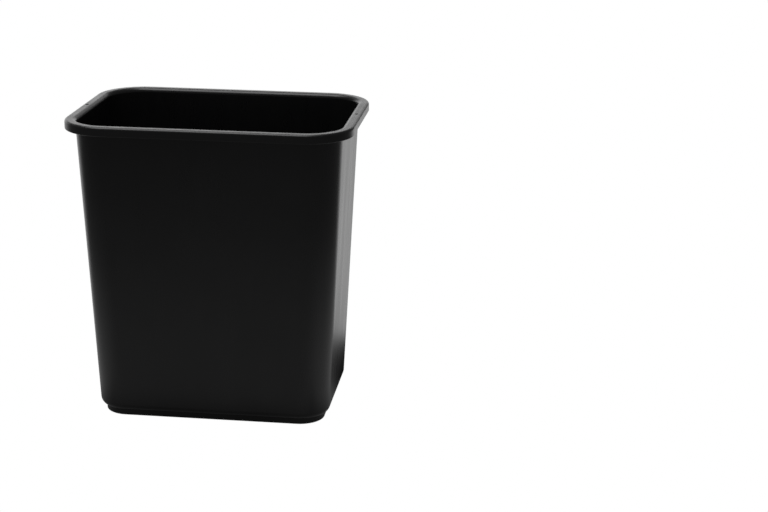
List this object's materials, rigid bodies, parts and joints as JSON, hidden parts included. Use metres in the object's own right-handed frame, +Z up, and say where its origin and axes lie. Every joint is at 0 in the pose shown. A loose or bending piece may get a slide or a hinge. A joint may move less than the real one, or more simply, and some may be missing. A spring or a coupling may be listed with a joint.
{
  "type": "wastebasket",
  "caption": "Rectangular open-top wastebasket with tapered walls, rounded corners, a flat rim with a turned-down skirt and a low foot ring.",
  "frame": {"origin": "on the ground, under the centre of the basket", "axes": "+Z up, X along the long side, -Y towards the front; both long sides are alike"},
  "size_m": [0.366, 0.264, 0.391],
  "materials": {
    "black_plastic": "satin"
  },
  "bodies": {
    "root": {"basket": "black_plastic"}
  },
  "joints": []
}
